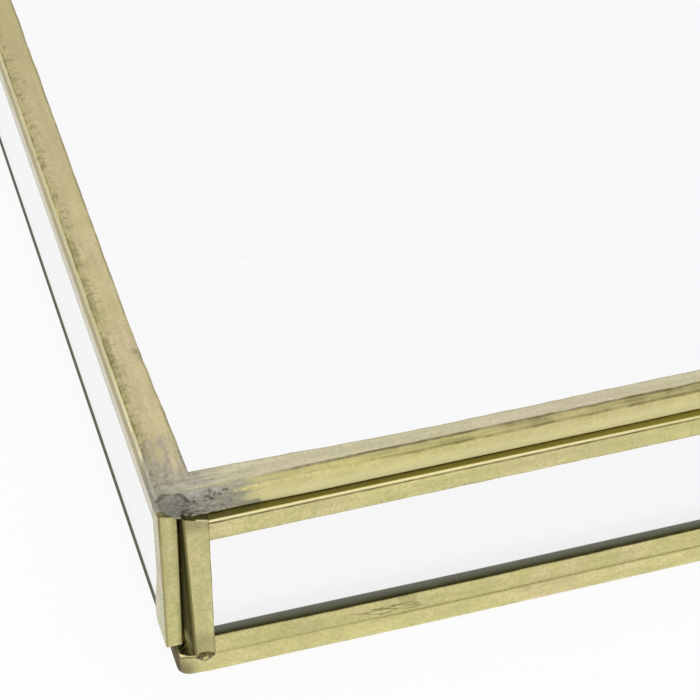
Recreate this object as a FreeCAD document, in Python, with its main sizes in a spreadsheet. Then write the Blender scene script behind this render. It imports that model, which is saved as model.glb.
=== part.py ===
import FreeCAD, Part
import os
import Sketcher

# Mirrored jewelry box with folded brass edging, in millimetres.
# X runs along the front, Y from front to back, Z up from the table.
# The tray (base plate, front and back panels) stays put, and the cover
# (lid with its two side panels) turns on two pin hinges along the back.

doc = FreeCAD.newDocument("jewelry_box")

# Driving dimensions, one cell each
SIZES = (
    ("cover_width", 240.0),
    ("base_depth", 180.0),
    ("box_height", 40.0),
    ("sheet", 0.5),
    ("lid_fold", 1.0),
    ("wall_fold", 0.3),
    ("rim_fold", 0.35),
    ("lid_mirror_thickness", 3.0),
    ("lid_backing_thickness", 0.6),
    ("wall_mirror_thickness", 2.0),
    ("side_backing_thickness", 0.3),
    ("panel_backing_thickness", 2.0),
    ("base_plate_thickness", 3.0),
    ("lid_end_flange", 4.1),
    ("lid_side_flange", 5.8),
    ("panel_flange", 4.3),
    ("panel_end_flange", 3.6),
    ("side_top_flange", 3.6),
    ("side_end_flange", 4.1),
    ("rim_flange", 5.2),
    ("rim_corner_radius", 2.4),
    ("rim_inset", 1.6),
    ("cover_setback", 2.0),
    ("lid_gap", 0.4),
    ("foot_gap", 1.9),
    ("panel_gap", 0.9),
    ("barrel_radius", 1.6),
    ("barrel_standoff", 0.4),
    ("pin_radius", 0.8),
    ("pin_clearance", 0.05),
    ("pin_head_length", 0.8),
    ("pin_head_radius", 1.2),
    ("knuckle_length", 9.0),
    ("knuckle_gap", 0.3),
    ("leaf_thickness", 0.6),
    ("leaf_gap", 0.3),
    ("leaf_drop", 4.0),
    ("hinge_inset", 50.0),
    ("solder_thickness", 0.3),
    ("solder_run", 14.0),
    ("solder_drop", 1.2),
    ("blob_length", 3.4),
    ("blob_height", 2.0),
    ("blob_depth", 0.6),
)

sheet = doc.addObject("Spreadsheet::Sheet", "Sizes")
for row, (alias, value) in enumerate(SIZES, 1):
    sheet.set("A%d" % row, alias)
    sheet.set("B%d" % row, str(value))
    sheet.setAlias("B%d" % row, alias)
doc.recompute()


def s(alias):
    """Reference to a cell of the sheet."""
    return "Sizes." + alias


def paren(*terms):
    """Sum of terms, bracketed so that it can be used inside a longer expression."""
    return "(" + " + ".join(terms) + ")"


def minus(term):
    """Negative of an expression."""
    return "(-1 * " + term + ")"


def half(term):
    """Half of an expression."""
    return "(0.5 * " + term + ")"


# Worked out from the driving dimensions
SHEET = s("sheet")
RIM_HEIGHT = paren(s("base_plate_thickness"), SHEET, SHEET)
LID_HEIGHT = paren(s("lid_mirror_thickness"), s("lid_backing_thickness"), SHEET, SHEET)
WALL = paren(s("wall_mirror_thickness"), s("side_backing_thickness"), SHEET, SHEET)
PANEL = paren(s("wall_mirror_thickness"), s("panel_backing_thickness"), SHEET, SHEET)
LID_BOTTOM = paren(s("box_height"), minus(LID_HEIGHT))
PANEL_TOP = paren(LID_BOTTOM, minus(s("lid_gap")))
PANEL_HEIGHT = paren(PANEL_TOP, minus(RIM_HEIGHT))
SIDE_BOTTOM = paren(RIM_HEIGHT, s("foot_gap"))
SIDE_HEIGHT = paren(LID_BOTTOM, minus(SIDE_BOTTOM))

# Plan: the hinge stands behind the tray and the solder a little in front of it,
# and the origin lies under the middle of both
BARREL_REACH = paren(s("barrel_standoff"), s("barrel_radius"), s("barrel_radius"))
FRONT = minus(half(paren(s("base_depth"), BARREL_REACH, minus(s("blob_depth")))))
BACK = paren(FRONT, s("base_depth"))
LEFT = minus(half(s("cover_width")))
RIGHT = half(s("cover_width"))
COVER_FRONT = paren(FRONT, s("cover_setback"))
COVER_DEPTH = paren(s("base_depth"), minus(s("cover_setback")))
PANEL_LEFT = paren(LEFT, WALL, s("panel_gap"))
PANEL_RIGHT = minus(PANEL_LEFT)
PANEL_LENGTH = paren(PANEL_RIGHT, PANEL_RIGHT)
RIM_LENGTH = paren(s("cover_width"), minus(s("rim_inset")), minus(s("rim_inset")))
BACK_PANEL_FRONT = paren(BACK, minus(PANEL))
RIGHT_SIDE_LEFT = paren(RIGHT, minus(WALL))
HINGE_Y = paren(BACK, s("barrel_standoff"), s("barrel_radius"))
HINGE_Z = paren(LID_BOTTOM, minus(half(s("lid_gap"))))

X_AXIS = FreeCAD.Vector(1, 0, 0)
Y_AXIS = FreeCAD.Vector(0, 1, 0)
Z_AXIS = FreeCAD.Vector(0, 0, 1)
ZERO = "0"
TOLERANCE = 1e-6

pieces = []


def number(expression):
    """Present value of an expression of the sheet."""
    return float(sheet.evalExpression(expression))


def place(thing, x, y, z):
    """Tie a thing's place to the sheet."""
    for axis, expression in zip("xyz", (x, y, z)):
        thing.setExpression("Placement.Base." + axis, expression)


def keep(thing, label):
    """Name a finished piece and list it for export."""
    thing.Label = label
    pieces.append(thing)
    return thing


def box(name, corner, size):
    """Rectangular block from its lowest corner and its size."""
    block = doc.addObject("Part::Box", name)
    for edge, expression in zip(("Length", "Width", "Height"), size):
        block.setExpression(edge, expression)
    place(block, *corner)
    return block


def rod(name, start, length, radius):
    """Round bar along X."""
    bar = doc.addObject("Part::Cylinder", name)
    bar.setExpression("Radius", radius)
    bar.setExpression("Height", length)
    bar.Placement.Rotation = FreeCAD.Rotation(Z_AXIS, X_AXIS)
    place(bar, *start)
    return bar


def fuse(name, *shapes):
    """One solid out of several."""
    joined = doc.addObject("Part::MultiFuse", name)
    joined.Shapes = list(shapes)
    return joined


def cut(name, base, tool):
    """Base with the tool taken out."""
    result = doc.addObject("Part::Cut", name)
    result.Base = base
    result.Tool = tool
    return result


def origin_plane(body, role):
    """One of a body's own origin planes."""
    for feature in body.Origin.OriginFeatures:
        if feature.Role == role:
            return feature


def outline(body, name, role, points):
    """Closed sketch through points whose coordinates are expressions."""
    sketch = body.newObject("Sketcher::SketchObject", name)
    sketch.AttachmentSupport = [(origin_plane(body, role), "")]
    sketch.MapMode = "FlatFace"
    corners = [FreeCAD.Vector(number(x), number(y), 0) for x, y in points]
    count = len(corners)
    for index in range(count):
        sketch.addGeometry(Part.LineSegment(corners[index], corners[(index + 1) % count]), False)
    for index in range(count):
        sketch.addConstraint(Sketcher.Constraint("Coincident", index, 2, (index + 1) % count, 1))
    for index, point in enumerate(points):
        for kind, axis, expression in zip(("DistanceX", "DistanceY"), (-2, -1), point):
            if expression == ZERO:
                sketch.addConstraint(Sketcher.Constraint("PointOnObject", index, 1, axis))
                continue
            item = sketch.addConstraint(
                Sketcher.Constraint(kind, -1, 1, index, 1, number(expression)))
            sketch.setExpression("Constraints[%d]" % item, expression)
    return sketch


def edges_along_z(shape, places):
    """Names of the straight edges along Z that stand at the given places in XY."""
    names = []
    for index, edge in enumerate(shape.Edges, 1):
        first = edge.Vertexes[0].Point
        last = edge.Vertexes[-1].Point
        upright = abs(first.x - last.x) < TOLERANCE and abs(first.y - last.y) < TOLERANCE
        for x, y in places:
            if upright and abs(first.x - x) < TOLERANCE and abs(first.y - y) < TOLERANCE:
                names.append("Edge%d" % index)
    return names


def strip(label, channel, flange, run, fold, corner, opening, along, mitre=None):
    """Brass strip folded to a U: across the channel, open on one side, with round folds.

    ``mitre`` is the flange of the strips that it meets at both ends.
    """
    body = doc.addObject("PartDesign::Body", label)
    inner = paren(channel, minus(SHEET))
    section = outline(body, label + "_section", "XY_Plane", (
        (ZERO, ZERO), (channel, ZERO), (channel, flange), (inner, flange),
        (inner, SHEET), (SHEET, SHEET), (SHEET, flange), (ZERO, flange)))
    length = body.newObject("PartDesign::Pad", label + "_length")
    length.Profile = section
    length.setExpression("Length", run)
    doc.recompute()
    folds = body.newObject("PartDesign::Fillet", label + "_folds")
    folds.Base = (length, edges_along_z(length.Shape, ((0, 0), (number(channel), 0))))
    folds.setExpression("Radius", s(fold))
    if mitre:
        doc.recompute()
        whole = folds.Shape.Volume
        far = paren(run, minus(mitre))
        for end, triangle in (
                ("_near_mitre", ((ZERO, ZERO), (flange, ZERO), (flange, mitre))),
                ("_far_mitre", ((ZERO, run), (flange, far), (flange, run)))):
            sketch = outline(body, label + end + "_sketch", "YZ_Plane", triangle)
            mitre_cut = body.newObject("PartDesign::Pocket", label + end)
            mitre_cut.Profile = sketch
            mitre_cut.Type = "ThroughAll"
            mitre_cut.Midplane = True
            doc.recompute()
        if mitre_cut.Shape.Volume >= whole:
            raise ValueError(label + " has no mitre")
    body.Placement.Rotation = FreeCAD.Rotation(opening.cross(along), opening, along, "XYZ")
    place(body, *corner)
    return keep(body, label)


def base_plate():
    """Mirror floor with rounded corners, held all round in the slot of the rim."""
    corner = (paren(LEFT, s("rim_inset"), SHEET), paren(FRONT, SHEET), SHEET)
    across = paren(RIM_LENGTH, minus(SHEET), minus(SHEET))
    deep = paren(s("base_depth"), minus(SHEET), minus(SHEET))
    blank = box("base_plate_blank", corner, (across, deep, s("base_plate_thickness")))
    doc.recompute()
    plate = doc.addObject("Part::Fillet", "base_plate")
    plate.Base = blank
    radius = number(paren(s("rim_corner_radius"), minus(SHEET)))
    plate.Edges = [(index, radius, radius) for index, edge in enumerate(blank.Shape.Edges, 1)
                   if edge.BoundBox.ZLength > TOLERANCE]
    return keep(plate, "base_plate")


def base_rim(plate):
    """U strip bent once round the base plate, with rounded plan corners."""
    body = doc.addObject("PartDesign::Body", "rim_bar")
    plan = outline(body, "rim_plan", "XY_Plane", (
        (ZERO, ZERO), (RIM_LENGTH, ZERO), (RIM_LENGTH, s("base_depth")), (ZERO, s("base_depth"))))
    block = body.newObject("PartDesign::Pad", "rim_block")
    block.Profile = plan
    block.setExpression("Length", RIM_HEIGHT)
    doc.recompute()
    plan_corners = [(x, y) for x in (0, number(RIM_LENGTH)) for y in (0, number(s("base_depth")))]
    corners = body.newObject("PartDesign::Fillet", "rim_corners")
    corners.Base = (block, edges_along_z(block.Shape, plan_corners))
    corners.setExpression("Radius", s("rim_corner_radius"))
    doc.recompute()
    level = ["Edge%d" % index for index, edge in enumerate(corners.Shape.Edges, 1)
             if abs(edge.BoundBox.ZLength) < TOLERANCE]
    folds = body.newObject("PartDesign::Fillet", "rim_folds")
    folds.Base = (corners, level)
    folds.setExpression("Radius", s("rim_fold"))
    place(body, paren(LEFT, s("rim_inset")), FRONT, ZERO)
    margin = s("rim_flange")
    opening = box("rim_opening", (paren(LEFT, s("rim_inset"), margin), paren(FRONT, margin), ZERO),
                  (paren(RIM_LENGTH, minus(margin), minus(margin)),
                   paren(s("base_depth"), minus(margin), minus(margin)), RIM_HEIGHT))
    return keep(cut("base_rim", cut("rim_slotted", body, plate), opening), "base_rim")


def upright_panel(name, front, mirror_first):
    """Framed mirror that stands on the rim: four strips, the mirror and its backing."""
    run = paren(PANEL_LENGTH, minus(s("panel_end_flange")), minus(s("panel_end_flange")))
    near = paren(PANEL_LEFT, s("panel_end_flange"))
    far = paren(PANEL_RIGHT, minus(s("panel_end_flange")))
    strip(name + "_bottom_strip", PANEL, s("panel_flange"), run, "wall_fold",
          (near, front, RIM_HEIGHT), Z_AXIS, X_AXIS)
    strip(name + "_top_strip", PANEL, s("panel_flange"), run, "wall_fold",
          (far, front, PANEL_TOP), -Z_AXIS, -X_AXIS)
    strip(name + "_left_strip", PANEL, s("panel_end_flange"), PANEL_HEIGHT, "wall_fold",
          (PANEL_LEFT, front, PANEL_TOP), X_AXIS, -Z_AXIS)
    strip(name + "_right_strip", PANEL, s("panel_end_flange"), PANEL_HEIGHT, "wall_fold",
          (PANEL_RIGHT, front, RIM_HEIGHT), -X_AXIS, Z_AXIS)
    mirror_y = paren(front, SHEET)
    backing_y = paren(mirror_y, s("wall_mirror_thickness"))
    if not mirror_first:
        backing_y = mirror_y
        mirror_y = paren(backing_y, s("panel_backing_thickness"))
    across = paren(PANEL_LENGTH, minus(SHEET), minus(SHEET))
    high = paren(PANEL_HEIGHT, minus(SHEET), minus(SHEET))
    for label, y, thickness in (
            ("_mirror", mirror_y, s("wall_mirror_thickness")),
            ("_backing", backing_y, s("panel_backing_thickness"))):
        corner = (paren(PANEL_LEFT, SHEET), y, paren(RIM_HEIGHT, SHEET))
        keep(box(name + label, corner, (across, thickness, high)), name + label)


def side_panel(name, left, mirror_first):
    """Side of the cover: strips on three edges, and a bare mirror edge at the foot."""
    run = paren(COVER_DEPTH, minus(s("side_end_flange")), minus(s("side_end_flange")))
    strip(name + "_top_strip", WALL, s("side_top_flange"), run, "wall_fold",
          (left, paren(COVER_FRONT, s("side_end_flange")), LID_BOTTOM), -Z_AXIS, Y_AXIS)
    strip(name + "_front_strip", WALL, s("side_end_flange"), SIDE_HEIGHT, "wall_fold",
          (left, COVER_FRONT, SIDE_BOTTOM), Y_AXIS, Z_AXIS)
    strip(name + "_back_strip", WALL, s("side_end_flange"), SIDE_HEIGHT, "wall_fold",
          (left, BACK, LID_BOTTOM), -Y_AXIS, -Z_AXIS)
    mirror_x = paren(left, SHEET)
    backing_x = paren(mirror_x, s("wall_mirror_thickness"))
    if not mirror_first:
        backing_x = mirror_x
        mirror_x = paren(backing_x, s("side_backing_thickness"))
    deep = paren(COVER_DEPTH, minus(SHEET), minus(SHEET))
    high = paren(SIDE_HEIGHT, minus(SHEET))
    for label, x, thickness in (
            ("_mirror", mirror_x, s("wall_mirror_thickness")),
            ("_backing", backing_x, s("side_backing_thickness"))):
        corner = (x, paren(COVER_FRONT, SHEET), SIDE_BOTTOM)
        keep(box(name + label, corner, (thickness, deep, high)), name + label)


def lid():
    """Top mirror and its backing board in four mitred strips."""
    strip("lid_front_strip", LID_HEIGHT, s("lid_end_flange"), s("cover_width"), "lid_fold",
          (RIGHT, COVER_FRONT, LID_BOTTOM), Y_AXIS, -X_AXIS, s("lid_side_flange"))
    strip("lid_back_strip", LID_HEIGHT, s("lid_end_flange"), s("cover_width"), "lid_fold",
          (LEFT, BACK, LID_BOTTOM), -Y_AXIS, X_AXIS, s("lid_side_flange"))
    strip("lid_left_strip", LID_HEIGHT, s("lid_side_flange"), COVER_DEPTH, "lid_fold",
          (LEFT, COVER_FRONT, LID_BOTTOM), X_AXIS, Y_AXIS, s("lid_end_flange"))
    strip("lid_right_strip", LID_HEIGHT, s("lid_side_flange"), COVER_DEPTH, "lid_fold",
          (RIGHT, BACK, LID_BOTTOM), -X_AXIS, -Y_AXIS, s("lid_end_flange"))
    across = paren(s("cover_width"), minus(SHEET), minus(SHEET))
    deep = paren(COVER_DEPTH, minus(SHEET), minus(SHEET))
    level = paren(LID_BOTTOM, SHEET)
    for label, z, thickness in (
            ("lid_backing", level, s("lid_backing_thickness")),
            ("lid_mirror", paren(level, s("lid_backing_thickness")), s("lid_mirror_thickness"))):
        corner = (paren(LEFT, SHEET), paren(COVER_FRONT, SHEET), z)
        keep(box(label, corner, (across, deep, thickness)), label)


def hinge(name, middle):
    """Pin hinge: two barrels on the tray's leaf, one on the lid's leaf, and a headed pin."""
    step = paren(s("knuckle_length"), s("knuckle_gap"))
    first = paren(middle, minus(half(s("knuckle_length"))), minus(step))
    centre = paren(first, step)
    last = paren(centre, step)
    whole = paren(step, step, s("knuckle_length"))
    bore_radius = paren(s("pin_radius"), s("pin_clearance"))
    clear = paren(s("barrel_radius"), s("leaf_gap"))
    tray_foot = paren(PANEL_TOP, minus(s("leaf_drop")))
    tray_shoulder = paren(HINGE_Z, minus(clear))
    tray_solids = [box(name + "_tray_plate", (first, BACK, tray_foot),
                       (whole, s("leaf_thickness"), paren(tray_shoulder, minus(tray_foot))))]
    for part, start in (("_first", first), ("_last", last)):
        tray_solids.append(box(name + part + "_arm", (start, BACK, tray_foot),
                               (s("knuckle_length"), s("leaf_thickness"), s("leaf_drop"))))
        tray_solids.append(rod(name + part + "_barrel", (start, HINGE_Y, HINGE_Z),
                               s("knuckle_length"), s("barrel_radius")))
    tray_bore = rod(name + "_tray_bore", (first, HINGE_Y, HINGE_Z), whole, bore_radius)
    keep(cut(name + "_tray_leaf", fuse(name + "_tray_joined", *tray_solids), tray_bore),
         name + "_tray_leaf")
    lid_shoulder = paren(HINGE_Z, clear)
    lid_leaf_top = paren(s("box_height"), minus(s("lid_fold")))
    lid_plate = box(name + "_lid_plate", (first, BACK, lid_shoulder),
                    (whole, s("leaf_thickness"), paren(lid_leaf_top, minus(lid_shoulder))))
    lid_arm = box(name + "_lid_arm", (centre, BACK, LID_BOTTOM),
                  (s("knuckle_length"), s("leaf_thickness"), paren(lid_leaf_top, minus(LID_BOTTOM))))
    lid_barrel = rod(name + "_lid_barrel", (centre, HINGE_Y, HINGE_Z),
                     s("knuckle_length"), s("barrel_radius"))
    lid_bore = rod(name + "_lid_bore", (centre, HINGE_Y, HINGE_Z), s("knuckle_length"), bore_radius)
    keep(cut(name + "_lid_leaf", fuse(name + "_lid_joined", lid_plate, lid_arm, lid_barrel), lid_bore),
         name + "_lid_leaf")
    shank = rod(name + "_pin_shank", (first, HINGE_Y, HINGE_Z), whole, s("pin_radius"))
    heads = [rod(name + part, (start, HINGE_Y, HINGE_Z), s("pin_head_length"), s("pin_head_radius"))
             for part, start in (("_pin_near_head", paren(first, minus(s("pin_head_length")))),
                                 ("_pin_far_head", paren(first, whole)))]
    keep(fuse(name + "_pin", shank, *heads), name + "_pin")


def corner_solder(name, outer_x, toward, face, mirrored):
    """Thin cap of solder over a lid corner, with a short leg down onto the side panel's strip."""
    body = doc.addObject("PartDesign::Body", name)
    leg = WALL
    reach = s("solder_run")
    if mirrored:
        leg = minus(leg)
        reach = minus(reach)
    top = paren(LID_HEIGHT, minus(s("lid_fold")))
    drop = minus(s("solder_drop"))
    sketch = outline(body, name + "_outline", "XZ_Plane", (
        (ZERO, drop), (leg, drop), (leg, ZERO), (reach, ZERO), (reach, top), (ZERO, top)))
    pad = body.newObject("PartDesign::Pad", name + "_cap")
    pad.Profile = sketch
    pad.Reversed = toward
    pad.setExpression("Length", s("solder_thickness"))
    place(body, outer_x, face, LID_BOTTOM)
    keep(body, name)


def foot_solder(name, left, face, middle_y):
    """Half-round blob of solder on the seam between a panel's foot and the rim."""
    blob = doc.addObject("Part::Ellipsoid", name + "_whole")
    blob.setExpression("Radius1", half(s("blob_height")))
    blob.setExpression("Radius2", half(s("blob_length")))
    blob.setExpression("Radius3", s("blob_depth"))
    place(blob, paren(left, half(s("panel_end_flange"))), middle_y, RIM_HEIGHT)
    front_half = box(name + "_half", (paren(left, minus(s("blob_length"))), face,
                                      paren(RIM_HEIGHT, minus(s("blob_height")))),
                     (paren(*(s("blob_length"),) * 3), s("blob_depth"),
                      paren(s("blob_height"), s("blob_height"))))
    lump = doc.addObject("Part::MultiCommon", name)
    lump.Shapes = [blob, front_half]
    keep(lump, name)


base_rim(base_plate())
upright_panel("front", FRONT, True)
upright_panel("back", BACK_PANEL_FRONT, False)
side_panel("left", LEFT, True)
side_panel("right", RIGHT_SIDE_LEFT, False)
lid()
hinge("left_hinge", paren(LEFT, s("hinge_inset")))
hinge("right_hinge", paren(RIGHT, minus(s("hinge_inset"))))
corner_solder("lid_front_left_solder", LEFT, False, COVER_FRONT, False)
corner_solder("lid_front_right_solder", RIGHT, False, COVER_FRONT, True)
corner_solder("lid_back_left_solder", LEFT, True, BACK, False)
corner_solder("lid_back_right_solder", RIGHT, True, BACK, True)
FOOT_RIGHT = paren(PANEL_RIGHT, minus(s("panel_end_flange")))
for end, x in (("left", PANEL_LEFT), ("right", FOOT_RIGHT)):
    foot_solder("front_" + end + "_foot_solder", x, paren(FRONT, minus(s("blob_depth"))), FRONT)
    foot_solder("back_" + end + "_foot_solder", x, BACK, BACK)

doc.recompute()

for thing in doc.Objects:
    if "Invalid" in thing.State or "Error" in thing.State:
        raise ValueError("failed: " + thing.Name + " " + str(thing.State))
for piece in pieces:
    shape = piece.Shape
    if shape.isNull() or not shape.isValid():
        raise ValueError("bad shape: " + piece.Label)

os.makedirs("parts", exist_ok=True)
for piece in pieces:
    piece.Shape.exportStep(os.path.join("parts", piece.Label + ".step"))
print(len(pieces), "pieces")
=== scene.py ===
import math

import bmesh
import bpy
from bpy.props import FloatProperty, FloatVectorProperty, PointerProperty
from mathutils import Matrix, Vector, noise


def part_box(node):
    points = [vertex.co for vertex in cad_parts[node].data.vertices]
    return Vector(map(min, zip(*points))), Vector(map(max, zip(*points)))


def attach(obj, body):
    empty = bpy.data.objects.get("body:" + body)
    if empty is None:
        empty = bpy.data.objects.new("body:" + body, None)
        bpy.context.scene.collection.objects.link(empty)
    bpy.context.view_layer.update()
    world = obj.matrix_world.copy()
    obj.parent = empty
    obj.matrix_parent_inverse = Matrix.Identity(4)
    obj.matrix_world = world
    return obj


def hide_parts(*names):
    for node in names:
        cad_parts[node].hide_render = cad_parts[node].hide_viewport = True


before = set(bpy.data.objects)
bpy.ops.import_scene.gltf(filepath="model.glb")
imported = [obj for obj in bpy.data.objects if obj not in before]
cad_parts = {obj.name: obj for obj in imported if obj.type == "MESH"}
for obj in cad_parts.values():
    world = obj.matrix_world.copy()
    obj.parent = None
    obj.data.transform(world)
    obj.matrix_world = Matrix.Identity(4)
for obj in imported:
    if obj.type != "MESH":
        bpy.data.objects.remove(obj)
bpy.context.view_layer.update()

bl_info = {
    "name": "Mirrored jewelry box",
    "version": (1, 0, 0),
    "blender": (4, 5, 0),
    "location": "3D View > Sidebar > Jewelry Box",
    "description": "Hand-folded brass edging, mirrors, solder and hinges of a jewelry box",
    "category": "Object",
}

MM = 0.001
UV_UNIT = 0.01
X = Vector((1, 0, 0))
Y = Vector((0, 1, 0))
Z = Vector((0, 0, 1))


def node_size(node, axis):
    """Extent of a CAD node along X, Y or Z."""
    low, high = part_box(node)
    return high[axis] - low[axis]


LID_LOW, LID_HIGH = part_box("lid_front_strip")
PANEL_LOW, PANEL_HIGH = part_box("front_top_strip")
BOTTOM_LOW, BOTTOM_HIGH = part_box("front_bottom_strip")
SIDE_LOW, SIDE_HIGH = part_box("left_mirror")
RIM_LOW, RIM_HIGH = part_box("base_rim")
HALF_WIDTH = LID_HIGH.x
COVER_FRONT = LID_LOW.y
COVER_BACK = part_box("lid_back_strip")[1].y
LID_CHANNEL = LID_HIGH.z - LID_LOW.z
PANEL_CHANNEL = PANEL_HIGH.y - PANEL_LOW.y
SIDE_CHANNEL = node_size("left_front_strip", 0)
RIM_CHANNEL = RIM_HIGH.z - RIM_LOW.z


SCRATCHES = ((-8.2, 0.6, -1.0, -1.1), (-3.2, -1.1, 4.6, 0.1), (-4.8, 0.9, 1.6, -0.7), (-1.4, 0.8, 5.3, -0.6),
             (0.6, -0.9, 5.6, -0.5), (-6.0, 0.0, -1.2, 0.7), (-0.2, 0.3, 4.0, 0.8), (-3.6, 0.1, 2.6, 0.5),
             (1.6, 0.6, 5.0, 0.0))


def length(name, description, default, low=0.0, high=0.02):
    """A size in metres."""
    return FloatProperty(name=name, description=description, default=default,
                         min=low, max=high, precision=5, subtype="DISTANCE", unit="LENGTH")


def colour(name, description, default):
    """A linear colour."""
    return FloatVectorProperty(name=name, description=description, default=default,
                               min=0.0, max=1.0, size=3, subtype="COLOR")


class BoxSizes(bpy.types.PropertyGroup):
    """Sizes of the brass work and the solder."""

    sheet: length("Sheet", "Thickness of the brass", 0.5 * MM)
    lid_fold: length("Lid fold", "Outer radius of the upper fold round the lid", 1.0 * MM)
    lid_drop: length("Lid drop", "How far the lid's strips hang below their channel", 0.36 * MM)
    corner_kick: length("Corner kick", "How far the lid's foot leans out by its front left corner", 0.32 * MM)
    lid_foot_fold: length("Lid foot fold", "Outer radius of the lower fold round the lid", 0.3 * MM)
    wall_fold: length("Wall fold", "Outer radius of the folds round the walls", 0.28 * MM)
    post_fold: length("Post fold", "Outer radius of the posts' inner folds", 0.35 * MM)
    rim_fold: length("Rim fold", "Outer radius of the folds of the base rim", 0.35 * MM)
    rim_bow: length("Rim bow", "How far the front of the rim stands out in its middle", 0.36 * MM)
    rim_corner: length("Rim corner", "Plan radius of the base rim", 1.9 * MM)
    lid_corner: length("Lid corner", "Length over which the lid's corners are filed round", 5.0 * MM)
    lid_filing: length("Lid filing", "How much of the lid's corners is filed away", 1.2 * MM)
    pane_corner: length("Pane corner", "Corner radius of the lid's panes", 2.5 * MM)
    tongue: length("Tongue", "Rise of the front panel's end strips at their outer corner", 1.5 * MM)
    lip: length("Lip", "Rounding of the cut edges", 0.09 * MM)
    waver: length("Waver", "How far the cut edges wander", 0.2 * MM)
    dent: length("Dent", "How deep the faces are dented", 0.05 * MM)
    solder_run: length("Solder run", "Length of solder along a lid corner", 17.0 * MM, high=0.05)
    solder_height: length("Solder height", "Height of the solder's lumps", 0.2 * MM)
    wall_band: length("Wall band", "Dark edge seen in the foot of the front mirror", 2.05 * MM)
    side_band: length("Side band", "Dark edge seen in the foot of the side mirror", 3.2 * MM)


class BoxColours(bpy.types.PropertyGroup):
    """Finishes of the box and of the stage."""

    brass: colour("Brass", "Satin brass", (0.72, 0.655, 0.30))
    upright_brass: colour("Upright brass", "Duller brass of the upright strips", (0.645, 0.60, 0.275))
    lid_brass: colour("Lid brass", "Rubbed brass on top of the lid's ends", (0.655, 0.602, 0.395))
    lid_side_brass: colour("Lid side brass", "Browner brass on top of the lid's sides", (0.655, 0.565, 0.318))
    # Real brown of seams, stains, scuffs and flux; also laid on as painted shade on the posts' edges and on the rim's
    # corners, end faces and seam groove.
    tarnish_and_shade: colour("Tarnish", "Brown in seams and stains", (0.14, 0.115, 0.045))
    # Olive: a real dull film along the lid's folds, and also painted shade on the lid sides' outer faces, on the
    # posts, on the upright strips under the lid and at their feet, and in the rim's seam.
    olive: colour("Olive", "Dull film along the folds", (0.33, 0.295, 0.135))
    # Painted shade: dark olive laid on brass in the gaps between strips, over their top ends and plugs, and on the
    # ends of the panels' top ledges; scaled up, it is the painted bounce light deep in the gaps.
    shaded_brass: colour("Oxide", "Dark olive brass that light hardly reaches", (0.125, 0.108, 0.024))
    # Painted shade on the panels' top ledges under the lid and on the rim's top at its bare ends; also the lighter
    # olive at the front of the upright strips' closed sides.
    ledge: colour("Ledge", "Dull olive brass of the panels' outer edges", (0.30, 0.27, 0.072))
    # Painted highlights on the folds of the panels' top strips and the lid's sides, on the front of the rim's top at
    # its ends and along the front of the upright strips' tops; also the bright grains of the foot solder.
    bright_brass: colour("Bright brass", "Fresh metal on worn folds", (0.90, 0.82, 0.46))
    solder: colour("Solder", "Dull grey solder", (0.40, 0.385, 0.33))
    solder_pit: colour("Solder pit", "Dark pits in the solder", (0.10, 0.093, 0.07))
    # Bright grains in the solder, and the painted light along the lower edge of the lid's solder.
    solder_light: colour("Solder light", "Bright grains in the solder", (0.66, 0.635, 0.56))
    mirror: colour("Mirror", "Silvered glass", (0.945, 0.945, 0.948))
    # Painted reflection: the dark channel seen through the glass at a mirror's foot.
    mirror_edge: colour("Mirror edge", "Dark edge of the silvered glass", (0.115, 0.12, 0.088))
    felt: colour("Felt", "Backing behind the mirrors", (0.062, 0.053, 0.026))
    floor: colour("Floor", "Pale table", (0.92, 0.92, 0.92))


class Value:
    """A shader socket that takes part in Python arithmetic."""

    def __init__(self, recipe, socket):
        self.recipe = recipe
        self.socket = socket

    def maths(self, operation, *terms):
        return self.recipe.node("ShaderNodeMath", {"operation": operation}, dict(enumerate(terms)))

    def __add__(self, other):
        return self.maths("ADD", self, other)

    def __sub__(self, other):
        return self.maths("SUBTRACT", self, other)

    def __rsub__(self, other):
        return self.maths("SUBTRACT", other, self)

    def __mul__(self, other):
        return self.maths("MULTIPLY", self, other)

    def __truediv__(self, other):
        return self.maths("DIVIDE", self, other)

    def __pow__(self, other):
        return self.maths("POWER", self, other)

    def __abs__(self):
        return self.maths("ABSOLUTE", self)

    __radd__ = __add__
    __rmul__ = __mul__


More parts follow.
